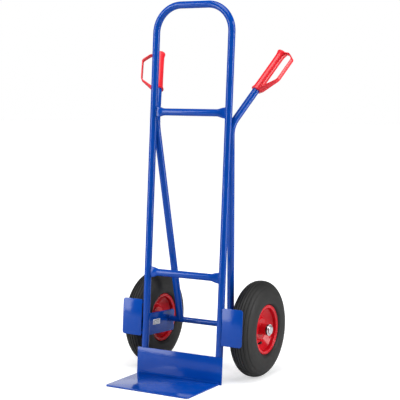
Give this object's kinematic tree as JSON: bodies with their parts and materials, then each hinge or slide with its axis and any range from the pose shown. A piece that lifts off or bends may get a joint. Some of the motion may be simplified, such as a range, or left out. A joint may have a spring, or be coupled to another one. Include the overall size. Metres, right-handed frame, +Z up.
{
  "type": "hand truck",
  "caption": "Upright steel hand truck with a tall hooped tube frame, guarded side handles, toe and heel plates and two air-filled wheels on a fixed axle.",
  "frame": {"origin": "on the floor, in the middle of the overall width and depth", "axes": "+X is the right side seen from the front, +Y points from the toe plate back to the wheels, +Z is up"},
  "size_m": [0.6096, 0.5718, 1.305],
  "materials": {
    "frame_paint": "glossy blue powder coat",
    "grip_plastic": "smooth red plastic",
    "label_film": "pale printed film",
    "zinc_plate": "bright zinc plate",
    "tyre_rubber": "dark grey rubber, ribbed tread",
    "tube_rubber": "smooth black rubber",
    "rim_paint": "glossy red paint on pressed steel",
    "black_plastic": "black nylon",
    "bearing_steel": "ground steel"
  },
  "bodies": {
    "frame": {"main_frame_tube": "frame_paint", "upper_crossbar": "frame_paint", "middle_crossbar": "frame_paint", "left_handle_tube": "frame_paint", "right_handle_tube": "frame_paint", "handle_welds": "frame_paint", "heel_plate": "frame_paint", "toe_plate": "frame_paint", "toe_weld": "frame_paint", "heel_welds": "frame_paint", "axle": "frame_paint", "left_axle_bracket": "frame_paint", "right_axle_bracket": "frame_paint", "left_wheel_guard": "frame_paint", "right_wheel_guard": "frame_paint", "guard_welds": "frame_paint", "left_grip": "grip_plastic", "right_grip": "grip_plastic", "label": "label_film", "left_axle_spacer": "frame_paint", "right_axle_spacer": "frame_paint", "axle_washers": "zinc_plate", "left_axle_cap": "zinc_plate", "right_axle_cap": "zinc_plate"},
    "left_wheel": {"left_tyre": "tyre_rubber", "left_inner_tube": "tube_rubber", "left_outer_rim_half": "rim_paint", "left_inner_rim_half": "rim_paint", "left_hub_tube": "rim_paint", "left_outer_bush": "black_plastic", "left_inner_bush": "black_plastic", "left_bearing_cages": "black_plastic", "left_bearing_rollers": "bearing_steel", "left_valve_stem": "tube_rubber", "left_valve_cap": "black_plastic"},
    "right_wheel": {"right_tyre": "tyre_rubber", "right_inner_tube": "tube_rubber", "right_outer_rim_half": "rim_paint", "right_inner_rim_half": "rim_paint", "right_hub_tube": "rim_paint", "right_outer_bush": "black_plastic", "right_inner_bush": "black_plastic", "right_bearing_cages": "black_plastic", "right_bearing_rollers": "bearing_steel", "right_valve_stem": "tube_rubber", "right_valve_cap": "black_plastic"}
  },
  "joints": [
    {"name": "left_wheel_spin", "type": "hinge", "parent": "frame", "child": "left_wheel", "pos_m": [-0.212, 0.11691, 0.169], "axis": [1, 0, 0], "continuous": true},
    {"name": "right_wheel_spin", "type": "hinge", "parent": "frame", "child": "right_wheel", "pos_m": [0.212, 0.11691, 0.169], "axis": [1, 0, 0], "continuous": true}
  ]
}
